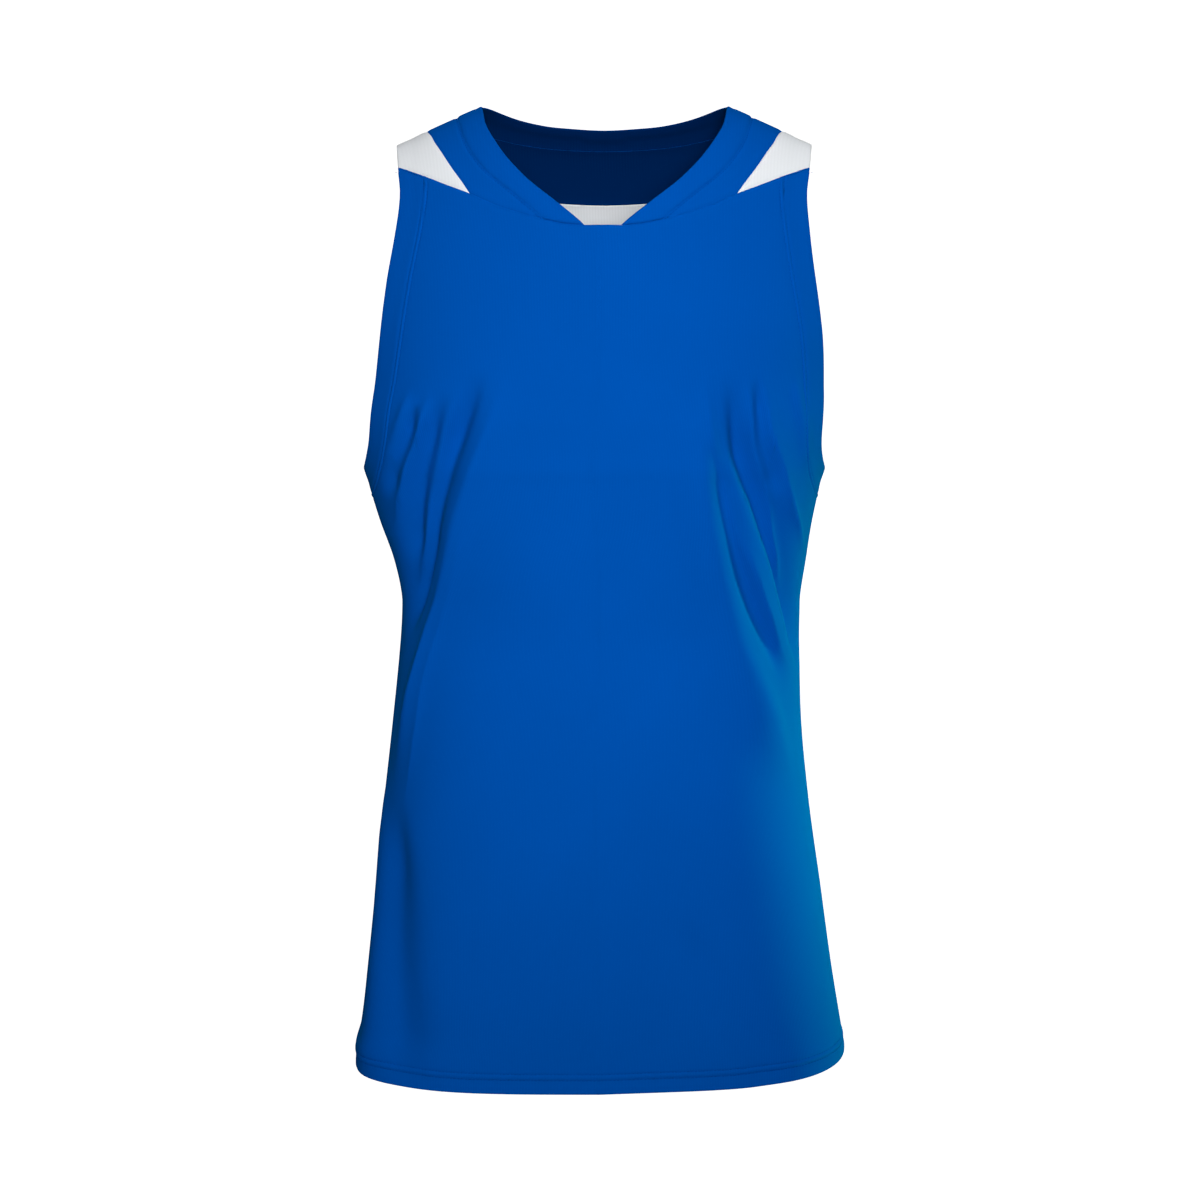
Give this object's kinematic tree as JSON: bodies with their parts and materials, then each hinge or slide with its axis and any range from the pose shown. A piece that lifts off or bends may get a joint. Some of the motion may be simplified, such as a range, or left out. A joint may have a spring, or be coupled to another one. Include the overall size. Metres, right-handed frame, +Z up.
{
  "type": "basketball jersey",
  "caption": "Sleeveless V-neck basketball jersey in blue with white shoulder inserts, in its worn, hollow form, open at neck, armholes and hem.",
  "frame": {"origin": "midway between the two shoulders, where a wearer's shoulders hold the garment up", "axes": "+Z up along the body, -Y out of the chest, +X to the wearer's left"},
  "size_m": [0.378, 0.235, 0.7407],
  "materials": {
    "body_blue": "smooth knit with a soft sheen",
    "insert_white": "smooth knit with a soft sheen"
  },
  "bodies": {
    "root": {"front": "body_blue", "back": "body_blue", "yoke_front_left": "body_blue", "yoke_front_right": "body_blue", "yoke_back": "body_blue", "neckband": "body_blue", "insert_left": "insert_white", "insert_right": "insert_white", "stripe_back": "insert_white"}
  },
  "joints": []
}
